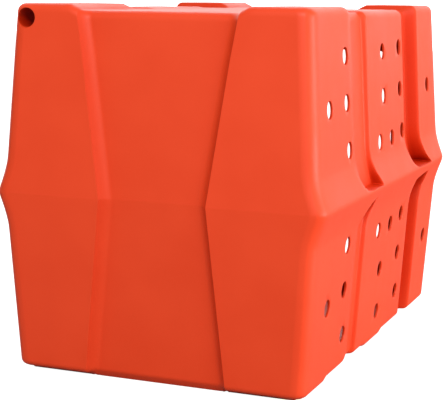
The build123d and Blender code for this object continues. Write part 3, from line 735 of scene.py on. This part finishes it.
# %% Node group: drawn or brushed grain
def grain_group():
    """Object coordinates stretched along one axis, as fine noise: a height for the bump and a tone
    that spreads the noise over 0 to 1."""
    group = bpy.data.node_groups.new("brushed_grain", "ShaderNodeTree")
    add_socket(group, "Scale", "NodeSocketVector", "INPUT", (2500.0, 2500.0, 60.0))
    add_socket(group, "Height", "NodeSocketFloat", "OUTPUT")
    add_socket(group, "Tone", "NodeSocketFloat", "OUTPUT")
    ends = new_node(group, "NodeGroupInput"), new_node(group, "NodeGroupOutput")
    stretch = new_node(group, "ShaderNodeVectorMath", operation="MULTIPLY")
    group.links.new(new_node(group, "ShaderNodeTexCoord").outputs["Object"], stretch.inputs[0])
    group.links.new(ends[0].outputs["Scale"], stretch.inputs[1])
    noise = new_node(group, "ShaderNodeTexNoise")
    noise.inputs["Scale"].default_value = 1.0
    noise.inputs["Detail"].default_value = 4.0
    group.links.new(stretch.outputs["Vector"], noise.inputs["Vector"])
    tone = new_node(group, "ShaderNodeMapRange")
    tone.inputs["From Min"].default_value, tone.inputs["From Max"].default_value = 0.3, 0.7
    group.links.new(noise.outputs["Fac"], tone.inputs["Value"])
    group.links.new(noise.outputs["Fac"], ends[1].inputs["Height"])
    group.links.new(tone.outputs["Result"], ends[1].inputs["Tone"])
    return group


brushed_grain = grain_group()


def grained_metal(name, dark, light, scale, roughness):
    """A bare metal whose grain shifts its tone and roughness and bumps it slightly."""
    material, tree, shader = new_material(name, Metallic=1.0)
    grain = new_node(tree, "ShaderNodeGroup", node_tree=brushed_grain)
    grain.inputs["Scale"].default_value = scale
    mix = new_node(tree, "ShaderNodeMix", data_type="RGBA")
    mix.inputs["A"].default_value, mix.inputs["B"].default_value = (*dark, 1), (*light, 1)
    tree.links.new(grain.outputs["Tone"], mix.inputs["Factor"])
    tree.links.new(mix.outputs["Result"], shader.inputs["Base Color"])
    rough = new_node(tree, "ShaderNodeMapRange")
    rough.inputs["To Min"].default_value, rough.inputs["To Max"].default_value = roughness
    tree.links.new(grain.outputs["Tone"], rough.inputs["Value"])
    tree.links.new(rough.outputs["Result"], shader.inputs["Roughness"])
    bump = new_node(tree, "ShaderNodeBump")
    bump.inputs["Strength"].default_value, bump.inputs["Distance"].default_value = 0.25, 0.05 * mm
    tree.links.new(grain.outputs["Height"], bump.inputs["Height"])
    tree.links.new(bump.outputs["Normal"], shader.inputs["Normal"])
    return material


# %% [markdown]
# The fittings are stainless, spring steel and brass, each with its own tones and grain. The door is
# steel under black powder coat, which is a little pebbled, and the covers are black nylon, which is
# finer and duller. CAD pieces that are shown as they are get their finish here.

# %% Door and fittings materials
stainless = grained_metal("stainless_brushed", (0.42, 0.42, 0.41), (0.62, 0.61, 0.59),
                          (60.0, 900.0, 2500.0), (0.24, 0.40))
spring_steel = grained_metal("spring_steel", (0.36, 0.36, 0.37), (0.52, 0.52, 0.52),
                             (1500.0, 1500.0, 1500.0), (0.22, 0.34))
brass = grained_metal("turned_brass", (0.62, 0.42, 0.16), (0.82, 0.60, 0.27),
                      (1200.0, 4000.0, 1200.0), (0.22, 0.38))
coat, coat_tree, coat_shader = new_material("black_powder_coat", IOR=1.5)
add_skin(coat_tree, coat_shader, ((0.018, 0.018, 0.020), (0.026, 0.026, 0.029)), (0.34, 0.46),
         1400.0, 25.0, 0.3, 0.12 * mm, 0.5)
nylon, nylon_tree, nylon_shader = new_material("black_nylon", IOR=1.53)
add_skin(nylon_tree, nylon_shader, ((0.022, 0.022, 0.022), (0.034, 0.033, 0.032)), (0.46, 0.58),
         2600.0, 14.0, 0.2, 0.06 * mm, 0.6)
FINISHES = (
    (stainless, ("hinge_screws", "keeper_screws", "latch_screws", "upper_latch_rod", "lower_latch_rod")),
    (brass, ("threaded_inserts",)),
    (coat, ("door_frame", "door_uprights", "hinge_pin_rod", "hinge_collar", "rod_guides")),
    (nylon, ("hinge_washer", "rod_caps")),
)
for material, names in FINISHES:
    for name in names:
        nodes[name].data.materials.clear()
        nodes[name].data.materials.append(material)
    print(material.name, "on", ", ".join(names))

# %% [markdown]
# Stamped plates and moulded covers never have knife edges, and a thin bright line along an edge is
# most of what makes them look solid. A copy of the CAD piece has its triangles merged back into
# whole faces, so that only real edges are left, and those are rounded over.

# %% Eased edges on plates, covers and tabs
def eased(name, width, body, material):
    """Stands in for a CAD piece: its flat faces made whole and its edges rounded over by the width."""
    piece = bpy.data.objects.new(name + "_eased", nodes[name].data.copy())
    bpy.context.scene.collection.objects.link(piece)
    work = bmesh.new()
    work.from_mesh(piece.data)
    bmesh.ops.remove_doubles(work, verts=work.verts, dist=0.002 * mm)
    bmesh.ops.dissolve_limit(work, angle_limit=math.radians(2), verts=work.verts, edges=work.edges)
    work.to_mesh(piece.data)
    work.free()
    step = piece.modifiers.new("round_over", "BEVEL")
    step.width, step.segments, step.limit_method, step.angle_limit = width, 2, "ANGLE", math.radians(50)
    apply_modifiers(piece)
    piece.data.polygons.foreach_set("use_smooth", np.ones(len(piece.data.polygons), bool))
    piece.data.set_sharp_from_angle(angle=math.radians(50))
    piece.data.materials.clear()
    piece.data.materials.append(material)
    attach(piece, body)
    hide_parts(name)
    print(piece.name, len(piece.data.polygons), "faces")


for end in ("upper", "lower"):
    eased(f"{end}_keeper", 0.6 * mm, "kennel", stainless)
    eased(f"{end}_hinge_bracket", 0.6 * mm, "kennel", stainless)
    eased(f"{end}_finger_tab", 0.9 * mm, f"{end}_latch", nylon)
eased("latch_cover", 0.9 * mm, "door", nylon)
eased("latch_back_plate", 0.7 * mm, "door", nylon)

# %% [markdown]
# The door's wires are resistance welded: at each crossing the hot wires sink into each other and a
# little steel squeezes out round them. A small flattened bead at each crossing shows that. The
# beads belong to the cross wires, so they are one piece with a copy of them.

# %% Welded cross wires
HINGE_X, HINGE_Y, OPEN = 214.05 * mm, -453.05 * mm, math.radians(100)
along_door = np.array([-math.cos(OPEN), -math.sin(OPEN), 0])
through_door = np.array([-math.sin(OPEN), math.cos(OPEN), 0])
FIRST_WIRE, LAST_WIRE, UPRIGHTS = 8.05 * mm, 420.05 * mm, 14
DOOR_BOTTOM, DOOR_TOP, CROSSES = 61 * mm, 581 * mm, 6
WELD_PLANE, BEAD_HALF, BEAD_FLAT = 4 * mm, 2.6 * mm, 1.5 * mm
# a ball of two angles: sin(lat) cos(lon), sin(lat) sin(lon), cos(lat)
lat, lon = np.linspace(0, np.pi, 7), np.linspace(0, 2 * np.pi, 12, endpoint=False)
ball = np.stack([np.sin(lat)[:, None] * np.cos(lon), np.sin(lat)[:, None] * np.sin(lon),
                 np.cos(lat)[:, None] + 0 * lon], -1)
ball_faces = grid_quads(len(lat), len(lon), close_columns=True)
wires = nodes["door_cross_wires"].data
wire_points = np.empty(len(wires.vertices) * 3)
wires.vertices.foreach_get("co", wire_points)
pieces = [(wire_points.reshape(-1, 3), [list(polygon.vertices) for polygon in wires.polygons])]
for cross in range(1, CROSSES):
    height = DOOR_BOTTOM + (DOOR_TOP - DOOR_BOTTOM) * cross / CROSSES
    for upright in range(1, UPRIGHTS + 1):
        across = FIRST_WIRE + (LAST_WIRE - FIRST_WIRE) * upright / (UPRIGHTS + 1)
        hinge = np.array([HINGE_X, HINGE_Y, height])
        centre = hinge + across * along_door + WELD_PLANE * through_door
        bead = (centre + BEAD_HALF * ball[..., :1] * along_door + BEAD_FLAT * ball[..., 1:2] * through_door
                + BEAD_HALF * ball[..., 2:] * [0, 0, 1])
        pieces.append((bead.reshape(-1, 3), ball_faces))
cross_wires = make_piece("welded_cross_wires", *joined(pieces))
merge_doubles(cross_wires, 0.001 * mm)
cross_wires.data.materials.append(coat)
print("cross wires with", len(pieces) - 1, "weld beads")
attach(cross_wires, "door")
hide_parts("door_cross_wires")

# %% [markdown]
# The two latch springs are coils between the housing's middle web and the finger tabs. A coil gets
# shorter when its tab moves in; each one is drawn at its rest length.

# %% Latch springs
def coil(turns, radius, wire, low, high, centre, around=14, per_turn=28):
    """Round wire along a helix: the angle grows evenly, and the height stays level over the first
    and last 0.7 of a turn and climbs evenly between them. The wire is a ring at each point."""
    share = np.linspace(0, 1, turns * per_turn + 1)
    angle = 2 * np.pi * turns * share
    climb = np.clip((share * turns - 0.7) / (turns - 1.4), 0, 1)
    height = low + wire + (high - low - 2 * wire) * climb
    out = np.stack([np.cos(angle), np.sin(angle), 0 * angle], -1)
    spine = np.array([*centre, 0.0]) + radius * out + height[:, None] * [0, 0, 1]
    t = np.linspace(0, 2 * np.pi, around, endpoint=False)
    ring = np.cos(t)[None, :, None] * out[:, None, :] + np.sin(t)[None, :, None] * np.array([0, 0, 1.0])
    points = (spine[:, None, :] + wire * ring).reshape(-1, 3)
    faces = [list(f) for f in grid_quads(len(share), around, close_columns=True)]
    last = (len(share) - 1) * around
    return points, faces + [list(range(around))[::-1], list(range(last, last + around))]


SPRING_WIRE, SPRING_TURNS, LATCH_TRAVEL = 0.6 * mm, 8, 12 * mm
for end, web in (("upper", 324 * mm), ("lower", 318 * mm)):
    low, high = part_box(f"{end}_latch_spring")
    centre = ((low.x + high.x) / 2, (low.y + high.y) / 2)
    radius = (high.x - low.x) / 2 - SPRING_WIRE
    points, faces = coil(SPRING_TURNS, radius, SPRING_WIRE, low.z, high.z, centre)
    spring = make_piece(f"{end}_spring", points, faces)
    merge_doubles(spring, 0.001 * mm, outward=True)
    spring.data.materials.append(spring_steel)
    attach(spring, "door")
    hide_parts(f"{end}_latch_spring")
    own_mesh(spring)

# %% [markdown]
# The studio is a pale floor that runs on out of sight, a pale surround, one large soft light from
# the kennel's vented side and one above its rear. To the camera alone, the floor and the surround
# are full white, so they needn't flood the kennel with light to look it. The camera has a place and
# three angles: yaw off the kennel's length, pitch down and a slight roll.

# %% Floor, lights and camera
def flat_sheet(name, corners, **settings):
    """A four-cornered stage sheet with its own plain material, whose node tree it gives back."""
    sheet = make_piece(name, np.array(corners, float), [[0, 1, 2, 3]])
    material, _, _ = new_material(name + "_paper", **settings)
    sheet.data.materials.append(material)
    return material.node_tree


FAR = 14
floor = flat_sheet("studio_floor", [(-FAR, -FAR, 0), (FAR, -FAR, 0), (FAR, FAR, 0), (-FAR, FAR, 0)],
                   Base_Color=(0.30, 0.29, 0.285, 1), Roughness=0.9, Emission_Color=(1, 1, 1, 1))
floor_seen = new_node(floor, "ShaderNodeLightPath").outputs["Is Camera Ray"]
floor.links.new(floor_seen, floor.nodes["Principled BSDF"].inputs["Emission Strength"])

world = bpy.data.worlds.new("studio")
bpy.context.scene.world = world
world.use_nodes = True
sky = world.node_tree
sky.nodes["Background"].inputs["Color"].default_value = (1, 1, 1, 1)
direction = new_node(sky, "ShaderNodeTexCoord").outputs["Generated"]


def sky_lobe(towards, start, end, low, high):
    """Sky strength that goes from low to high as the direction turns towards the given one."""
    along = new_node(sky, "ShaderNodeVectorMath", operation="DOT_PRODUCT")
    sky.links.new(direction, along.inputs[0])
    along.inputs[1].default_value = Vector(towards).normalized()
    lobe = new_node(sky, "ShaderNodeMapRange", interpolation_type="SMOOTHSTEP")
    for name, value in (("From Min", start), ("From Max", end), ("To Min", low), ("To Max", high)):
        lobe.inputs[name].default_value = value
    sky.links.new(along.outputs["Value"], lobe.inputs["Value"])
    return lobe.outputs["Result"]


broad_lobe = sky_lobe((-0.8, 0.5, 0.3), -1, 1, 0.08, 0.62)
front_lobe = sky_lobe((0.4, -0.9, 0.25), 0.55, 0.95, 0, 2.2)
sky_light = math_node(sky, "ADD", broad_lobe, front_lobe)
seen = new_node(sky, "ShaderNodeLightPath").outputs["Is Camera Ray"]
sky.links.new(math_node(sky, "MAXIMUM", sky_light, seen), sky.nodes["Background"].inputs["Strength"])


def area_light(name, place, aim, size, power):
    """A rectangular soft light at a place, facing a point."""
    data = bpy.data.lights.new(name, "AREA")
    data.shape, data.size, data.size_y, data.energy = "RECTANGLE", size[0], size[1], power
    lamp = bpy.data.objects.new(name, data)
    facing = (Vector(aim) - Vector(place)).to_track_quat("-Z", "Y")
    lamp.matrix_world = Matrix.Translation(place) @ facing.to_matrix().to_4x4()
    bpy.context.scene.collection.objects.link(lamp)


area_light("side_softbox", (-3.4, -0.5, 0.48), (-0.2, 0, 0.25), (3.0, 0.9), 84)
area_light("rear_softbox", (-1.4, 3.3, 2.5), (0, 0.2, 0.5), (2.0, 1.4), 84)

scene = bpy.context.scene
scene.view_settings.view_transform = "Standard"
YAW, PITCH, ROLL = math.radians(21.75), math.radians(8.91), math.radians(0.705)
LENS, SENSOR, IMAGE_WIDTH = 105.6, 36.0, 445
CAMERA_PLACE = (-0.9411, 2.4821, 0.6941)
ahead = Vector((math.sin(YAW) * math.cos(PITCH), -math.cos(YAW) * math.cos(PITCH), -math.sin(PITCH)))
right = ahead.cross(Vector((0, 0, 1))).normalized()
above = right.cross(ahead)
turned_right = math.cos(ROLL) * right + math.sin(ROLL) * above
turned_up = -math.sin(ROLL) * right + math.cos(ROLL) * above
camera_data = bpy.data.cameras.new("camera")
camera_data.lens, camera_data.sensor_width = LENS, SENSOR
camera_data.shift_y = -2 / IMAGE_WIDTH
camera = bpy.data.objects.new("camera", camera_data)
basis = Matrix((turned_right, turned_up, -ahead)).transposed().to_4x4()
camera.matrix_world = Matrix.Translation(CAMERA_PLACE) @ basis
scene.collection.objects.link(camera)
scene.camera = camera
print("camera at", CAMERA_PLACE, "lens", LENS)
